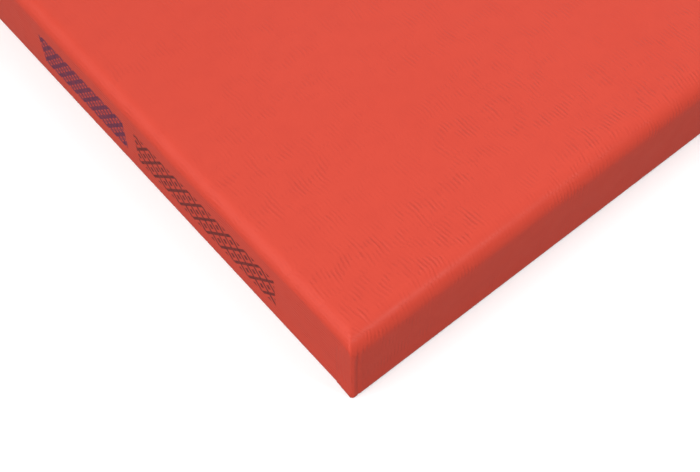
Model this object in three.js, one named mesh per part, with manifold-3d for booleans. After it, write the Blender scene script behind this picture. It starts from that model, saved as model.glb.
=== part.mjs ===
// A martial-arts tatami: one firm, flat slab of foam in a vinyl cover that is drawn tight round it.
//
// Units are millimetres, +Z is up, and the origin is the middle of the underside. The long sides
// run along X, as the embossed rows of the cover do, and the short sides run along Y, as its fine
// ribs do. The cover is bonded to the slab, so the mat is one solid.
import * as THREE from 'three';
import { mergeVertices, toCreasedNormals } from 'three/addons/utils/BufferGeometryUtils.js';
import Module from 'manifold-3d';

// Driving dimensions.
const LENGTH = 2000;
const WIDTH = 1000;
const THICKNESS = 40;
const LONG_EDGE_RADIUS = 9.5; // where the cover is bent softly over the top of a long side
const SHORT_EDGE_RADIUS = 6; // where it is folded tightly over the top of a short side
const BOTTOM_EDGE_RADIUS = 1.5; // where it is turned under, all the way round
const CORNER_RADIUS = 1.8; // the upright corners, each closed by a flat fold

const QUARTER_ARC_STEPS = 6; // flats in each quarter round
const OVERRUN = 10; // how far each extrusion runs past the slab before the cut
const CREASE_ANGLE = THREE.MathUtils.degToRad(30);

const COVER_COLOUR = 0xe25343;

// Adds a quarter round that turns anticlockwise, from startAngle, about (x, y).
function quarterRound(shape, x, y, radius, startAngle) {
  shape.absarc(x, y, radius, startAngle, startAngle + Math.PI / 2, false);
}

// The section across a side: u runs across the slab and v runs up from the underside.
function slabSection(across, topRadius) {
  const half = across / 2;
  const low = half - BOTTOM_EDGE_RADIUS;
  const high = half - topRadius;
  const section = new THREE.Shape();
  quarterRound(section, low, BOTTOM_EDGE_RADIUS, BOTTOM_EDGE_RADIUS, -Math.PI / 2);
  quarterRound(section, high, THICKNESS - topRadius, topRadius, 0);
  quarterRound(section, -high, THICKNESS - topRadius, topRadius, Math.PI / 2);
  quarterRound(section, -low, BOTTOM_EDGE_RADIUS, BOTTOM_EDGE_RADIUS, Math.PI);
  return section;
}

// The outline seen from above, with its four small upright corners.
function planOutline() {
  const x = LENGTH / 2 - CORNER_RADIUS;
  const y = WIDTH / 2 - CORNER_RADIUS;
  const outline = new THREE.Shape();
  quarterRound(outline, x, -y, CORNER_RADIUS, -Math.PI / 2);
  quarterRound(outline, x, y, CORNER_RADIUS, 0);
  quarterRound(outline, -x, y, CORNER_RADIUS, Math.PI / 2);
  quarterRound(outline, -x, -y, CORNER_RADIUS, Math.PI);
  return outline;
}

// Extrudes a shape along +Z and centres it on the origin along that direction.
function centredExtrusion(shape, depth) {
  const settings = { depth, bevelEnabled: false, curveSegments: QUARTER_ARC_STEPS };
  return new THREE.ExtrudeGeometry(shape, settings).translate(0, 0, -depth / 2);
}

// A slab that runs along X: section u goes to +Y and section v goes to +Z.
function slabAlongX() {
  const geometry = centredExtrusion(slabSection(WIDTH, LONG_EDGE_RADIUS), LENGTH + OVERRUN);
  return geometry.rotateX(Math.PI / 2).rotateZ(Math.PI / 2);
}

// A slab that runs along Y: section u goes to +X and section v goes to +Z.
function slabAlongY() {
  const geometry = centredExtrusion(slabSection(LENGTH, SHORT_EDGE_RADIUS), WIDTH + OVERRUN);
  return geometry.rotateX(Math.PI / 2);
}

// The upright prism that rounds the four corners.
function cornerPrism() {
  return centredExtrusion(planOutline(), THICKNESS + OVERRUN).translate(0, 0, THICKNESS / 2);
}

const wasm = await Module();
wasm.setup();

function toSolid(geometry) {
  geometry.deleteAttribute('normal');
  geometry.deleteAttribute('uv');
  const closed = mergeVertices(geometry);
  return new wasm.Manifold(new wasm.Mesh({
    numProp: 3,
    vertProperties: closed.attributes.position.array,
    triVerts: closed.index.array,
  }));
}

function toGeometry(solid) {
  const { vertProperties, triVerts } = solid.getMesh();
  const geometry = new THREE.BufferGeometry();
  geometry.setAttribute('position', new THREE.BufferAttribute(vertProperties, 3));
  geometry.setIndex(new THREE.BufferAttribute(triVerts, 1));
  return toCreasedNormals(geometry, CREASE_ANGLE);
}

// Where the two slabs cross, their rounded edges meet in a mitre at each corner, as a folded cover's do.
function matGeometry() {
  const mitred = toSolid(slabAlongX()).intersect(toSolid(slabAlongY()));
  return toGeometry(mitred.intersect(toSolid(cornerPrism())));
}

const coverMaterial = new THREE.MeshStandardMaterial({
  color: COVER_COLOUR,
  roughness: 0.55,
  metalness: 0,
});

const mat = new THREE.Mesh(matGeometry(), coverMaterial);
mat.name = 'mat';

const tatami = new THREE.Group();
tatami.add(mat);

export default tatami;
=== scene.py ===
"""The looks of a martial-arts tatami: a firm slab in an embossed vinyl cover.

The cover is one closed mesh. Its vertices are the lattice points on the outside of a plain box, each
pushed out from a smaller box inside until it meets the rounded outside of the slab. That keeps the
grid square on the faces, close at the bends, and lets soft unevenness, the raised rows, the corner
folds and the turned-under margin be added as small moves of the vertices.
"""
import math

import bpy
import numpy as np
from mathutils import Matrix, Vector


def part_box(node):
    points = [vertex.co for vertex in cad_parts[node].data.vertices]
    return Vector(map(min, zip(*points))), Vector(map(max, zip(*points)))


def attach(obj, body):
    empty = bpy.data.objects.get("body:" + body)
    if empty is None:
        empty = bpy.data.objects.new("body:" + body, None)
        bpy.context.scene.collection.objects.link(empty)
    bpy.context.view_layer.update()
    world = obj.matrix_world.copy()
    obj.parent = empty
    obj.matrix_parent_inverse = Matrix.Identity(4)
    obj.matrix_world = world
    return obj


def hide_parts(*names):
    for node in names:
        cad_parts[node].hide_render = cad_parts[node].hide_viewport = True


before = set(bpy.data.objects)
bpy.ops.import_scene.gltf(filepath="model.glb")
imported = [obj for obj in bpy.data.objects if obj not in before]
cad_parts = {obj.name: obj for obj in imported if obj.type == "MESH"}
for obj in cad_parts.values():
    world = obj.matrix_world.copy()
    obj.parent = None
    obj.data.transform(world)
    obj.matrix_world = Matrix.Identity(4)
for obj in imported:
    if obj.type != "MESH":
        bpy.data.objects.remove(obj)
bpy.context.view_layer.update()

MM = 0.001
NODE = "mat"

# The slab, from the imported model. X runs along the long sides and Y along the short ones.
mat_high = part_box(NODE)[1]
HALF_X, HALF_Y = mat_high[0], mat_high[1]
TOP = mat_high[2]
LONG_EDGE_RADIUS = 9.5 * MM
SHORT_EDGE_RADIUS = 6 * MM
BOTTOM_EDGE_RADIUS = 1.5 * MM
CORNER_RADIUS = 1.2 * MM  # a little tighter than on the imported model
MITRE_SHARPNESS = 4  # higher is a sharper mitre where two rounded edges meet

# The inner box that the lattice is pushed out from.
INSET = 14 * MM
CORE_LOW = 4.5 * MM
CORE_HIGH = 31.5 * MM

# The emboss: fine ribs along Y in rows along X.
ROW_PITCH = 18 * MM
ROW_CENTRE = 11.8 * MM  # from a long side to the middle of the first row
ROW_HEIGHT = 0.07 * MM
RIB_PITCH = 1.8 * MM
CELL = 2.25 * MM  # of the lattice along Y and up the sides
LONG_CELL = 40 * MM  # of the lattice along X

# Lattice lines beside an upright corner or an edge, as distances in from it.
EDGE_LINES = [d * MM for d in (
    0, 0.3, 0.7, 1.1, 1.6, 2.1, 2.5, 2.8, 3.2, 3.8, 4.8, 6, 7.2, 8.4, 8.9, 9.3, 9.7, 10.2, 11.4, 12.7)]
BOTTOM_LINES = [d * MM for d in (0, 0.2, 0.5, 0.9, 1.5, 2.5)]
TOP_LINES = [d * MM for d in (7.6, 6.5, 5.4, 4.3, 3.3, 2.4, 1.6, 0.8, 0)]

# The fold at each upright corner: a flap from the long side laid flat on the short side.
FLAP_WIDTH = 9.5 * MM
FLAP_TOP = 30 * MM
FLAP_THIN, FLAP_THICK = 0.12 * MM, 0.55 * MM
CREASE_PLACE, CREASE_WIDTH, CREASE_DEPTH = 2.7 * MM, 0.4 * MM, 0.3 * MM

# The underside: a turned-under margin of the cover round a plain base.
MARGIN = 45 * MM
BASE_RECESS = 0.6 * MM


def smooth(value, start, end):
    """0 before start, 1 after end, and a smooth step between."""
    t = np.clip((value - start) / (end - start), 0, 1)
    return t * t * (3 - 2 * t)


# ---------------------------------------------------------------- the lattice

def lattice_lines(half, cell):
    """Lines across the slab from -half to half, close beside both sides."""
    count = round(2 * (half - INSET) / cell)
    inner = np.linspace(INSET - half, half - INSET, count + 1)
    edge = np.array(EDGE_LINES)
    return np.concatenate([edge - half, inner, (half - edge)[::-1]])


XS = lattice_lines(HALF_X, LONG_CELL)
YS = lattice_lines(HALF_Y, CELL)
ZS = np.concatenate([
    BOTTOM_LINES,
    np.arange(CORE_LOW, CORE_HIGH + CELL / 2, CELL),
    TOP - np.array(TOP_LINES),
])
NX, NY, NZ = len(XS), len(YS), len(ZS)
ZONE = len(EDGE_LINES)  # how many lines lie between a side and the inner box


def edge_drop(distance, radius):
    """How far a rounded edge falls away at this distance in from its side."""
    short = np.clip(radius - distance, 0, radius)
    return radius - np.sqrt(radius**2 - short**2)


def inside(p):
    """Whether points are inside the slab's outside surface."""
    dx, dy = HALF_X - np.abs(p[:, 0]), HALF_Y - np.abs(p[:, 1])
    beyond = np.hypot(np.maximum(CORNER_RADIUS - dx, 0), np.maximum(CORNER_RADIUS - dy, 0))
    in_plan = (dx >= 0) & (dy >= 0) & (beyond <= CORNER_RADIUS)
    falls = [edge_drop(dx, SHORT_EDGE_RADIUS), edge_drop(dy, LONG_EDGE_RADIUS)]
    fall = sum(f**MITRE_SHARPNESS for f in falls) ** (1 / MITRE_SHARPNESS)
    rise = np.maximum(edge_drop(dx, BOTTOM_EDGE_RADIUS), edge_drop(dy, BOTTOM_EDGE_RADIUS))
    return in_plan & (p[:, 2] <= TOP - fall) & (p[:, 2] >= rise)


FARTHEST = 1.001  # just past the plain box, as a share of the way from the inner box to it
HALVINGS = 30  # of the gap between a point inside and one outside


def push_out(box_points):
    """Moves points on the plain box onto the slab's outside, each along its line from the inner box."""
    core = np.array([HALF_X - INSET, HALF_Y - INSET, 0])
    start = np.clip(box_points, -core, core)
    start[:, 2] = np.clip(box_points[:, 2], CORE_LOW, CORE_HIGH)
    near, far = np.zeros(len(start)), np.ones(len(start)) * FARTHEST
    for _ in range(HALVINGS):
        middle = (near + far) / 2
        within = inside(start + (box_points - start) * middle[:, None])
        near, far = np.where(within, middle, near), np.where(within, far, middle)
    return start + (box_points - start) * near[:, None]


# ---------------------------------------------------------------- the cover laid out flat

def run_length(points):
    """Distance along a row of points from the first one."""
    steps = np.linalg.norm(np.diff(points, axis=0), axis=1)
    return np.concatenate([[0], np.cumsum(steps)])


def section_lengths(side):
    """For a section across the X sides (0) or the Y sides (1): the flat coordinate of each top line, and
    how far down from the top's edge line each side line is."""
    lines, half = ((XS, HALF_X), (YS, HALF_Y))[side]
    over = np.zeros((len(lines), 3))
    over[:, side], over[:, 2] = lines, TOP
    across = run_length(push_out(over))
    down = np.zeros((NZ, 3))
    down[:, side], down[:, 2] = half, ZS
    fallen = run_length(push_out(down)[::-1])[::-1]
    return across - across[-1] / 2, fallen


FLAT_X, DOWN_X = section_lengths(0)
FLAT_Y, DOWN_Y = section_lengths(1)


def flat_place(box_points, face):
    """Where points on one face of the box lie on the flat sheet that the cover was cut from."""
    x, y, z = box_points.T
    u, v = np.interp(x, XS, FLAT_X), np.interp(y, YS, FLAT_Y)
    if face == "short":
        u = np.sign(x) * (FLAT_X[-1] + np.interp(z, ZS, DOWN_X))
    if face == "long":
        v = np.sign(y) * (FLAT_Y[-1] + np.interp(z, ZS, DOWN_Y))
    if face == "under_short":
        u = np.sign(x) * (FLAT_X[-1] + DOWN_X[0] + HALF_X - np.abs(x))
    if face == "under_long":
        v = np.sign(y) * (FLAT_Y[-1] + DOWN_Y[0] + HALF_Y - np.abs(y))
    if face == "flap":
        u = np.sign(x) * (FLAT_X[-1] + HALF_Y - np.abs(y))
        v = np.sign(y) * (FLAT_Y[-1] + np.interp(z, ZS, DOWN_Y))
    return np.stack([u, v], axis=1)


# ---------------------------------------------------------------- the faces

VINYL, BASE = 0, 1


def key(i, j, k):
    """The number of a lattice point."""
    return (i * NY + j) * NZ + k


def cell_grid(rows, columns):
    """The first corner of every cell between this many lines each way, as two flat arrays."""
    return [a.ravel() for a in np.meshgrid(np.arange(rows - 1), np.arange(columns - 1), indexing="ij")]


class Faces:
    """Collects faces as lattice keys, with the corners' places on the box and on the flat sheet."""

    def __init__(self):
        self.keys, self.flats = [], []

    def add(self, corners, face):
        """corners is a list of (i, j, k) arrays, anticlockwise as seen from outside."""
        ijk = [np.stack(np.broadcast_arrays(*c), axis=1) for c in corners]
        flats = [flat_place(np.stack([XS[c[:, 0]], YS[c[:, 1]], ZS[c[:, 2]]], axis=1), face) for c in ijk]
        self.keys += np.stack([key(*c.T) for c in ijk], axis=1).tolist()
        self.flats += np.stack(flats, axis=1).tolist()


def add_top(faces):
    i, j = cell_grid(NX, NY)
    k = NZ - 1
    faces.add([(i, j, k), (i + 1, j, k), (i + 1, j + 1, k), (i, j + 1, k)], "top")


def add_long_sides(faces):
    i, k = cell_grid(NX, NZ)
    faces.add([(i, 0, k), (i + 1, 0, k), (i + 1, 0, k + 1), (i, 0, k + 1)], "long")
    j = NY - 1
    faces.add([(i, j, k), (i, j, k + 1), (i + 1, j, k + 1), (i + 1, j, k)], "long")


def flap_reach(z):
    """How far the flap reaches from the corner: straight, then slanting in to the corner's top."""
    return np.clip(FLAP_WIDTH - (z - FLAP_TOP), 0, FLAP_WIDTH)


def on_flap(j, k):
    """Whether cells of a short side are on the flap that is folded over from a long side."""
    from_corner = HALF_Y - np.abs(YS[j] + YS[j + 1]) / 2
    return from_corner < flap_reach((ZS[k] + ZS[k + 1]) / 2)


def add_short_sides(faces):
    cells = np.stack(cell_grid(NY, NZ), axis=1)
    for flap in (False, True):
        j, k = cells[on_flap(*cells.T) == flap].T
        face = "flap" if flap else "short"
        faces.add([(0, j + 1, k), (0, j, k), (0, j, k + 1), (0, j + 1, k + 1)], face)
        i = NX - 1
        faces.add([(i, j, k), (i, j + 1, k), (i, j + 1, k + 1), (i, j, k + 1)], face)


def add_bottom_rim(faces):
    """The underside as far in as the inner box."""
    i, j = cell_grid(NX, NY)
    near_x = np.minimum(i, NX - 2 - i)
    near_y = np.minimum(j, NY - 2 - j)
    dx = HALF_X - np.abs(XS[i] + XS[i + 1]) / 2
    dy = HALF_Y - np.abs(YS[j] + YS[j + 1]) / 2
    rim = np.minimum(near_x, near_y) < ZONE
    for face, chosen in (("under_short", rim & (dx < dy)), ("under_long", rim & (dx >= dy))):
        a, b = i[chosen], j[chosen]
        faces.add([(a, b, 0), (a, b + 1, 0), (a + 1, b + 1, 0), (a + 1, b, 0)], face)


def rim_loop():
    """The inner edge of the bottom rim as (i, j) pairs, anticlockwise as seen from above."""
    i0, i1, j0, j1 = ZONE, NX - 1 - ZONE, ZONE, NY - 1 - ZONE
    front = [(i, j0) for i in range(i0, i1)]
    right = [(i1, j) for j in range(j0, j1)]
    back = [(i, j1) for i in range(i1, i0, -1)]
    left = [(i0, j) for j in range(j1, j0, -1)]
    return front + right + back + left


def underside():
    """The flat of the margin, the small step up to the base, and the base.

    Returns the places of the new vertices, and faces as (corners, flat places, material). A corner is
    ("key", lattice key) or ("new", number of a new vertex).
    """
    loop = rim_loop()
    count = len(loop)
    outer = np.array([(XS[i], YS[j], 0) for i, j in loop])
    scale = np.array([(HALF_X - MARGIN) / (HALF_X - INSET), (HALF_Y - MARGIN) / (HALF_Y - INSET), 0])
    edge = outer * scale
    base = edge + (0, 0, BASE_RECESS)
    places = np.concatenate([edge, base])
    across, along = NX - 1 - 2 * ZONE, NY - 1 - 2 * ZONE
    keys = [key(i, j, 0) for i, j in loop]
    faces = []

    def flat(points, at):
        side = "under_long" if at < across or across + along <= at < 2 * across + along else "under_short"
        return flat_place(points, side).tolist()

    for n in range(count):
        m = (n + 1) % count
        ring = np.array([outer[n], edge[n], edge[m], outer[m]])
        faces.append(([("key", keys[n]), ("new", n), ("new", m), ("key", keys[m])], flat(ring, n), VINYL))
        step = np.array([edge[n], base[n], base[m], edge[m]])
        numbers = [("new", n), ("new", count + n), ("new", count + m), ("new", m)]
        faces.append((numbers, flat(step, n), VINYL))
    left = [count - r for r in range(along + 1)]  # from the front to the back
    left[0] = 0
    right = [across + r for r in range(along + 1)]
    for r in range(along):
        ends = [left[r], left[r + 1], right[r + 1], right[r]]
        if r == 0:
            ends += list(range(across - 1, 0, -1))
        if r == along - 1:
            ends[2:2] = list(range(left[r + 1] - 1, right[r + 1], -1))
        flats = base[ends][:, :2].tolist()
        faces.append(([("new", count + e) for e in ends], flats, BASE))
    return places, faces


# ---------------------------------------------------------------- the moves

UNEVEN_TOP, UNEVEN_SIDE = 0.16 * MM, 0.3 * MM
WAVE_LENGTHS = [w * MM for w in (150, 190, 240, 310, 400)]
WAVE_SEED = 7
WAVES_START, WAVES_FULL = BOTTOM_EDGE_RADIUS, 10 * MM  # heights between which the sides' waves come in
ROWS_START, ROWS_FULL = TOP - 2 * MM, TOP - 0.2 * MM
FLAP_EDGE = 0.3 * MM


def waves(points):
    """Soft unevenness between about -1 and 1."""
    random = np.random.default_rng(WAVE_SEED)
    total = np.zeros(len(points))
    for length in WAVE_LENGTHS:
        direction = random.normal(size=3)
        direction /= np.linalg.norm(direction)
        total += np.sin(points @ direction * 2 * math.pi / length + random.uniform(0, 2 * math.pi))
    return total / math.sqrt(len(WAVE_LENGTHS))


def moved(points, normals, ijk):
    """Adds the cover's unevenness, its raised rows, its corner flaps and its corner creases."""
    i, j, _ = ijk.T
    x, y, z = points.T
    level = np.abs(normals[:, 2])
    lifted = smooth(z, WAVES_START, WAVES_FULL)
    uneven = waves(points) * lifted * (UNEVEN_SIDE + (UNEVEN_TOP - UNEVEN_SIDE) * level)
    rows = ROW_HEIGHT * np.cos(2 * math.pi * (y + HALF_Y - ROW_CENTRE) / ROW_PITCH)
    rows *= smooth(z, ROWS_START, ROWS_FULL)
    new = points + normals * (uneven + rows)[:, None]

    from_corner = HALF_Y - np.abs(YS[j])
    on_short = (i == 0) | (i == NX - 1)
    thickness = FLAP_THICK - (FLAP_THICK - FLAP_THIN) * np.clip(from_corner / FLAP_WIDTH, 0, 1)
    flap = thickness * smooth(flap_reach(z) - from_corner, -FLAP_EDGE, FLAP_EDGE)
    flap *= smooth(from_corner, 0, CORNER_RADIUS)
    new[:, 0] += np.sign(x) * flap * on_short

    from_corner = HALF_X - np.abs(XS[i])
    on_long = (j == 0) | (j == NY - 1)
    crease = CREASE_DEPTH * np.exp(-(((from_corner - CREASE_PLACE) / CREASE_WIDTH) ** 2))
    crease *= smooth(z, 0, BOTTOM_EDGE_RADIUS) * (1 - smooth(z, FLAP_TOP, TOP - LONG_EDGE_RADIUS / 3))
    new[:, 1] -= np.sign(y) * crease * on_long
    return new


SHARP_ANGLE = math.radians(50)


def make_cover():
    faces = Faces()
    for add in (add_top, add_long_sides, add_short_sides, add_bottom_rim):
        add(faces)
    used, numbers = np.unique(faces.keys, return_inverse=True)
    ijk = np.stack([used // (NY * NZ), used // NZ % NY, used % NZ], axis=1)
    points = push_out(np.stack([XS[ijk[:, 0]], YS[ijk[:, 1]], ZS[ijk[:, 2]]], axis=1))
    polygons = numbers.reshape(-1, 4).tolist()
    flats = [place for face in faces.flats for place in face]
    materials = [VINYL] * len(polygons)

    number_of = dict(zip(used.tolist(), range(len(used))))
    places, under = underside()
    for corners, flat, material in under:
        polygons.append([number_of[n] if kind == "key" else len(used) + n for kind, n in corners])
        flats += flat
        materials.append(material)

    mesh = bpy.data.meshes.new("tatami_cover")
    mesh.from_pydata(np.concatenate([points, places]).tolist(), [], polygons)
    normals = np.empty(len(mesh.vertices) * 3, np.float32)
    mesh.vertex_normals.foreach_get("vector", normals)
    normals = normals.reshape(-1, 3)[: len(points)]
    shaped = np.concatenate([moved(points, normals, ijk), places])
    mesh.vertices.foreach_set("co", shaped.ravel())
    mesh.uv_layers.new(name="flat").uv.foreach_set("vector", np.array(flats).ravel())
    mesh.polygons.foreach_set("material_index", materials)
    mesh.polygons.foreach_set("use_smooth", [True] * len(mesh.polygons))
    mesh.set_sharp_from_angle(angle=SHARP_ANGLE)
    mesh.validate()
    mesh.update()
    cover = bpy.data.objects.new("tatami_cover", mesh)
    bpy.context.scene.collection.objects.link(cover)
    return cover


# ---------------------------------------------------------------- materials

class Nodes:
    """A new material's node tree, with short ways to add to it."""

    def __init__(self, name):
        self.material = bpy.data.materials.new(name)
        self.material.use_nodes = True
        self.tree = self.material.node_tree
        self.tree.nodes.clear()

    def make(self, kind, inputs=None, **settings):
        node = self.tree.nodes.new("ShaderNode" + kind)
        for setting, value in settings.items():
            setattr(node, setting, value)
        for name, value in (inputs or {}).items():
            self.feed(node.inputs[name], value)
        return node

    def feed(self, socket, value):
        if isinstance(value, bpy.types.NodeSocket):
            self.tree.links.new(value, socket)
        else:
            socket.default_value = value

    def math(self, operation, *values):
        node = self.tree.nodes.new("ShaderNodeMath")
        node.operation = operation
        for socket, value in zip(node.inputs, values):
            self.feed(socket, value)
        return node.outputs[0]

    def remap(self, value, low, high, to_low, to_high, smoothly=False):
        interpolation = "SMOOTHSTEP" if smoothly else "LINEAR"
        inputs = {"Value": value, "From Min": low, "From Max": high, "To Min": to_low, "To Max": to_high}
        return self.make("MapRange", inputs, interpolation_type=interpolation).outputs[0]

    def noise(self, place, per_mm, detail=2.0):
        """Noise from 0 to 1 on the flat sheet, with its own scale across and along."""
        scaled = self.make("VectorMath", {0: place, 1: (*per_mm, 1.0)}, operation="MULTIPLY")
        inputs = {"Vector": scaled.outputs[0], "Scale": 1.0, "Detail": detail}
        return self.make("TexNoise", inputs, noise_dimensions="2D").outputs[0]

    def mix(self, share, first, second):
        node = self.make("Mix", data_type="RGBA")
        for socket, value in zip((node.inputs[0], node.inputs[6], node.inputs[7]), (share, first, second)):
            self.feed(socket, value)
        return node.outputs[2]

    def finish(self, **inputs):
        shader = self.make("BsdfPrincipled", {k.replace("_", " "): v for k, v in inputs.items()})
        self.make("OutputMaterial", {"Surface": shader.outputs[0]})
        return self.material


def sheet_place(nodes):
    """Place on the flat sheet in millimetres, and its two parts."""
    flat = nodes.make("UVMap", uv_map="flat").outputs[0]
    place = nodes.make("VectorMath", {0: flat, "Scale": 1 / MM}, operation="SCALE").outputs[0]
    parts = nodes.make("SeparateXYZ", {0: place}).outputs
    return place, parts[0], parts[1]


# The emboss. Heights are in millimetres and scales are per millimetre, across and along the sheet.
RIB_HEIGHT, STROKE_HEIGHT, GRAIN_HEIGHT = 0.045, 0.16, 0.014
RIB_DRIFT, RIB_DRIFT_SCALE = 2.4, (0.03, 0.05)  # how far the ribs wander, in ribs
STROKE_SCALE, GRAIN_SCALE = (0.8, 0.10), (2.2, 2.2)
WIDE_PATCH_SCALE, CLOSE_PATCH_SCALE = (0.02, 0.03), (0.15, 0.19)
CRISP_REACH = (110.0, 10.0)  # the ribs get deeper between these distances in from a long side's bend
CRISP_DEPTH, SIDE_DEPTH = 1.9, 0.4  # of the ribs beside that bend and down the long sides


def emboss(nodes):
    """The rush-like emboss. Returns the place on the sheet, the height there in millimetres, and how deep
    in a groove it is, 0 to 1, which the vinyl's colour uses as the mask for painted shade in the grooves."""
    place, u, v = sheet_place(nodes)
    first = (HALF_Y - ROW_CENTRE) / MM
    row = nodes.math("DIVIDE", nodes.math("ADD", v, first), ROW_PITCH / MM)
    number = nodes.math("ROUND", row)
    offset = nodes.math("ABSOLUTE", nodes.math("SUBTRACT", row, number))
    band = nodes.remap(offset, 0.15, 0.45, 1.0, 0.45, smoothly=True)
    shift = nodes.math("MULTIPLY", nodes.math("PINGPONG", number, 1.0), 0.5)
    drift = nodes.math("MULTIPLY", nodes.noise(place, RIB_DRIFT_SCALE), RIB_DRIFT)
    phase = nodes.math("ADD", nodes.math("DIVIDE", u, RIB_PITCH / MM), nodes.math("ADD", shift, drift))
    wave = nodes.math("COSINE", nodes.math("MULTIPLY", phase, 2 * math.pi))
    wide = nodes.remap(nodes.noise(place, WIDE_PATCH_SCALE), 0.35, 0.6, 0.3, 1.0, smoothly=True)
    close = nodes.remap(nodes.noise(place, CLOSE_PATCH_SCALE), 0.42, 0.62, 0.12, 1.0, smoothly=True)
    bend = float(FLAT_Y[-1] / MM)
    out = nodes.math("ABSOLUTE", v)
    crisp_start, crisp_full = (bend - reach for reach in CRISP_REACH)
    crisp = nodes.remap(out, crisp_start, crisp_full, 1.0, CRISP_DEPTH, smoothly=True)
    on_side = nodes.remap(out, bend + 2.0, bend + 10.0, 1.0, SIDE_DEPTH, smoothly=True)
    kept = nodes.math("MULTIPLY", crisp, on_side)
    depth = nodes.math("MULTIPLY", nodes.math("MULTIPLY", band, kept), nodes.math("MULTIPLY", wide, close))
    ribs = nodes.math("MULTIPLY", nodes.math("MULTIPLY", wave, depth), RIB_HEIGHT)
    stroke = nodes.math("SUBTRACT", nodes.noise(place, STROKE_SCALE, 3.0), 0.5)
    strokes = nodes.math("MULTIPLY", nodes.math("MULTIPLY", stroke, depth), STROKE_HEIGHT)
    grain = nodes.math("MULTIPLY", nodes.noise(place, GRAIN_SCALE, 3.0), GRAIN_HEIGHT)
    height = nodes.math("ADD", nodes.math("ADD", ribs, strokes), grain)
    # painted shade mask: largest at the bottom of each rib's trough, as deep as the emboss there
    groove = nodes.math("MULTIPLY", nodes.remap(wave, -1.0, 1.0, 1.0, 0.0), depth)
    return place, height, groove


VINYL_RED = (0.570, 0.0545, 0.0305, 1)
# A darker red, used for random blotches and as painted shade in the ribs' troughs
BLOTCH_AND_GROOVE_SHADE_RED = (0.50, 0.044, 0.027, 1)
SCUFFED_RED = (0.597, 0.062, 0.0365, 1)
VINYL_SPECULAR = 0.2
INK_PURPLE = (0.105, 0.02, 0.058, 1)
INK_BROWN = (0.12, 0.016, 0.015, 1)
BASE_GREY, BASE_WORN = (0.035, 0.035, 0.038, 1), (0.055, 0.055, 0.058, 1)
FLOOR_AS_SEEN = (0.96, 1, 1, 1)
FLOOR_AS_BOUNCE = (0.36, 0.36, 0.36, 1)

# The printed border on the left side: two trellises. Each is given in millimetres as (start and end along
# the side from the front corner, distance between lines, half of a line's width, half of a dot's width).
# The reach is half of the border's height, in millimetres too.
MOTIF_MIDDLE, MOTIF_REACH = 18 * MM, 9
THIN_TRELLIS = (46, 137, 6.4, 0.55, 0.9)
BOLD_TRELLIS = (145, 208, 4.3, 0.80, 0.3)
INK_BLEED = 0.35


def between(nodes, value, start, end):
    """1 where the value is from start to end, with a soft edge, and 0 elsewhere."""
    rise = nodes.remap(value, start - INK_BLEED, start + INK_BLEED, 0.0, 1.0)
    return nodes.math("MULTIPLY", rise, nodes.remap(value, end - INK_BLEED, end + INK_BLEED, 1.0, 0.0))


def trellis(nodes, along, up, row):
    """Where one trellis of the motif is printed, 0 to 1: crossing diagonals, with a dot in each gap."""
    start, end, pitch, line, dot = row
    root = math.sqrt(2)
    from_lines = []
    for operation in ("ADD", "SUBTRACT"):
        across = nodes.math("DIVIDE", nodes.math(operation, along, up), root)
        from_lines.append(nodes.math("PINGPONG", across, pitch / 2))
    nearest = nodes.math("MINIMUM", *from_lines)
    lines = nodes.remap(nearest, line, line + INK_BLEED, 1.0, 0.0)
    dots = nodes.remap(nearest, pitch / 2 - dot - INK_BLEED, pitch / 2 - dot, 0.0, 1.0)
    printed = nodes.math("MAXIMUM", lines, dots)
    in_length = between(nodes, along, start, end)
    in_height = between(nodes, up, -MOTIF_REACH, MOTIF_REACH)
    return nodes.math("MULTIPLY", printed, nodes.math("MULTIPLY", in_length, in_height))


def ink_on(nodes, colour, place):
    """The motif in ink that lets some of the red through, over the vinyl's colour."""
    parts = nodes.make("SeparateXYZ", {0: place}).outputs
    along = nodes.math("ADD", parts[1], HALF_Y / MM)
    middle = FLAT_X[-1] + np.interp(MOTIF_MIDDLE, ZS, DOWN_X)
    up = nodes.math("ADD", parts[0], float(middle / MM))
    worn = nodes.remap(nodes.noise(place, (0.45, 0.45), 4.0), 0.35, 0.75, 1.0, 0.7)
    for row, ink in ((THIN_TRELLIS, INK_BROWN), (BOLD_TRELLIS, INK_PURPLE)):
        colour = nodes.mix(nodes.math("MULTIPLY", trellis(nodes, along, up, row), worn), colour, ink)
    return colour


def vinyl_material():
    nodes = Nodes("red_vinyl")
    place, height, groove = emboss(nodes)
    mottle = nodes.remap(nodes.noise(place, (0.012, 0.012), 4.0), 0.3, 0.7, 0.0, 0.35)
    plain = nodes.mix(mottle, VINYL_RED, SCUFFED_RED)
    blotch = nodes.remap(nodes.noise(place, (0.09, 0.12), 3.0), 0.4, 0.75, 0.0, 0.18)
    red = nodes.mix(blotch, plain, BLOTCH_AND_GROOVE_SHADE_RED)
    # painted shade: the red is made darker in the troughs of the ribs
    groove_shaded = nodes.mix(nodes.math("MULTIPLY", groove, 0.22), red, BLOTCH_AND_GROOVE_SHADE_RED)
    colour = ink_on(nodes, groove_shaded, place)
    bump = nodes.make("Bump", {"Strength": 1.0, "Distance": MM, "Height": height}).outputs[0]
    rough = nodes.remap(nodes.noise(place, (0.08, 0.08), 3.0), 0.3, 0.7, 0.38, 0.44)
    return nodes.finish(
        Base_Color=colour, Roughness=rough, Specular_IOR_Level=VINYL_SPECULAR, Normal=bump)


TREAD_PITCH, TREAD_HEIGHT = 4, 0.15  # in millimetres


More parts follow.
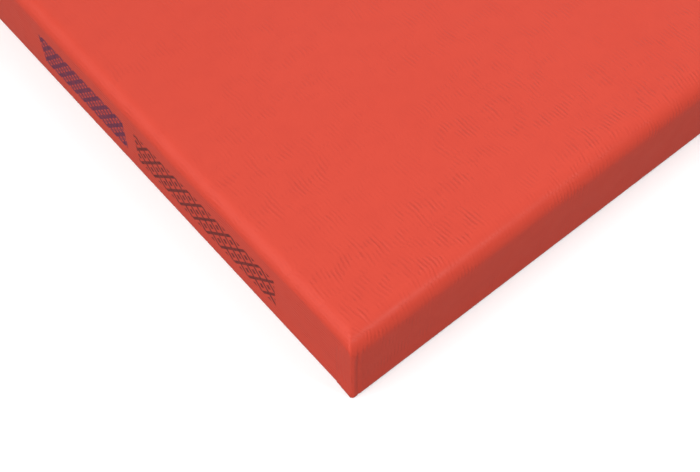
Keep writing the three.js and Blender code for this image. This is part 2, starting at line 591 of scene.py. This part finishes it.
def base_material():
    """A plain dark non-slip base with a fine square tread."""
    nodes = Nodes("base_cloth")
    place, u, v = sheet_place(nodes)
    turn = 2 * math.pi / TREAD_PITCH
    ridges = [nodes.math("COSINE", nodes.math("MULTIPLY", part, turn)) for part in (u, v)]
    tread = nodes.math("MULTIPLY", nodes.math("MAXIMUM", *ridges), TREAD_HEIGHT)
    grain = nodes.math("MULTIPLY", nodes.noise(place, (1.5, 1.5), 3.0), 0.1)
    height = nodes.math("ADD", tread, grain)
    bump = nodes.make("Bump", {"Strength": 1.0, "Distance": MM, "Height": height}).outputs[0]
    shade = nodes.remap(nodes.noise(place, (0.05, 0.05), 4.0), 0.3, 0.7, 0.0, 0.4)
    colour = nodes.mix(shade, BASE_GREY, BASE_WORN)
    return nodes.finish(Base_Color=colour, Roughness=0.85, Normal=bump)


def floor_material():
    """Pale when it is looked at, and greyer in the light that it throws back on the mat."""
    nodes = Nodes("pale_floor")
    looked_at = nodes.make("LightPath").outputs["Is Camera Ray"]
    colour = nodes.mix(looked_at, FLOOR_AS_BOUNCE, FLOOR_AS_SEEN)
    return nodes.finish(Base_Color=colour, Roughness=0.9, Specular_IOR_Level=0.0)


# ---------------------------------------------------------------- the stage

FLOOR_HALF_SIZE = 40.0


def add_floor():
    size = FLOOR_HALF_SIZE
    mesh = bpy.data.meshes.new("floor")
    corners = [(-size, -size, 0), (size, -size, 0), (size, size, 0), (-size, size, 0)]
    mesh.from_pydata(corners, [], [(0, 1, 2, 3)])
    floor = bpy.data.objects.new("floor", mesh)
    bpy.context.scene.collection.objects.link(floor)
    mesh.materials.append(floor_material())
    floor.visible_glossy = False  # kept out of the mat's reflections


def add_sun(name, towards, strength, angle):
    """A soft lamp far away. towards points from the mat to the lamp."""
    lamp = bpy.data.lights.new(name, "SUN")
    lamp.energy = strength
    lamp.angle = math.radians(angle)
    holder = bpy.data.objects.new(name, lamp)
    bpy.context.scene.collection.objects.link(holder)
    holder.rotation_mode = "QUATERNION"
    holder.rotation_quaternion = Vector(towards).to_track_quat("Z", "Y")


def add_near_lamp(name, towards, distance, strength, size):
    """A round lamp that faces the front left corner. strength is the light that reaches the corner."""
    corner = Vector((-HALF_X, -HALF_Y, TOP))
    place = Vector(towards) * distance
    lamp = bpy.data.lights.new(name, "AREA")
    lamp.shape = "DISK"
    lamp.size = size
    lamp.energy = strength * math.pi * place.length_squared
    holder = bpy.data.objects.new(name, lamp)
    bpy.context.scene.collection.objects.link(holder)
    holder.location = corner + place
    holder.rotation_mode = "QUATERNION"
    holder.rotation_quaternion = place.to_track_quat("Z", "Y")


WORLD_LIGHT = (0.2, 0.2, 0.2, 1)


def add_lamps():
    add_sun("key_lamp", (-0.733, -0.017, 0.680), 2.74, 90)
    add_sun("far_lamp", (0.600, 0.250, 0.760), 1.15, 90)
    add_near_lamp("front_lamp", (-0.45, -0.45, 0.77), 1.0, 0.80, 0.5)
    add_near_lamp("right_lamp", (0.355, -0.748, 0.562), 0.9, 0.66, 0.15)


def add_world():
    """A weak even light, which the camera itself sees as white."""
    world = bpy.data.worlds.new("studio")
    world.use_nodes = True
    tree = world.node_tree
    tree.nodes.clear()
    seen = tree.nodes.new("ShaderNodeBackground")
    seen.inputs[0].default_value = (1, 1, 1, 1)
    lit = tree.nodes.new("ShaderNodeBackground")
    lit.inputs[0].default_value = WORLD_LIGHT
    path = tree.nodes.new("ShaderNodeLightPath")
    mix = tree.nodes.new("ShaderNodeMixShader")
    out = tree.nodes.new("ShaderNodeOutputWorld")
    tree.links.new(path.outputs["Is Camera Ray"], mix.inputs[0])
    tree.links.new(lit.outputs[0], mix.inputs[1])
    tree.links.new(seen.outputs[0], mix.inputs[2])
    tree.links.new(mix.outputs[0], out.inputs[0])
    bpy.context.scene.world = world


# The camera looks down at the front left corner. The corner's place is given as the camera has it.
CAMERA_DOWN = math.radians(56.47)
CAMERA_TURN = math.radians(40.06)
CORNER_RIGHT, CORNER_UP, CORNER_AHEAD = 1.04 * MM, -61.2 * MM, 460 * MM
LENS, SENSOR = 63.4, 36.0


def add_camera():
    down, turn = CAMERA_DOWN, CAMERA_TURN
    right = Vector((math.cos(turn), -math.sin(turn), 0))
    ahead = Vector((math.sin(turn) * math.cos(down), math.cos(turn) * math.cos(down), -math.sin(down)))
    up = right.cross(ahead)
    corner = Vector((-HALF_X, -HALF_Y, 0))
    data = bpy.data.cameras.new("camera")
    data.lens, data.sensor_width = LENS, SENSOR
    data.clip_start, data.clip_end = 0.01, 200
    camera = bpy.data.objects.new("camera", data)
    place = corner - right * CORNER_RIGHT - up * CORNER_UP - ahead * CORNER_AHEAD
    turned = Matrix((right, up, -ahead)).transposed().to_4x4()
    camera.matrix_world = Matrix.Translation(place) @ turned
    bpy.context.scene.collection.objects.link(camera)
    bpy.context.scene.camera = camera


add_camera()
cover = make_cover()
for material in (vinyl_material(), base_material()):
    cover.data.materials.append(material)
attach(cover, "root")
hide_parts(NODE)
add_floor()
add_lamps()
add_world()
bpy.context.scene.view_settings.view_transform = "Standard"
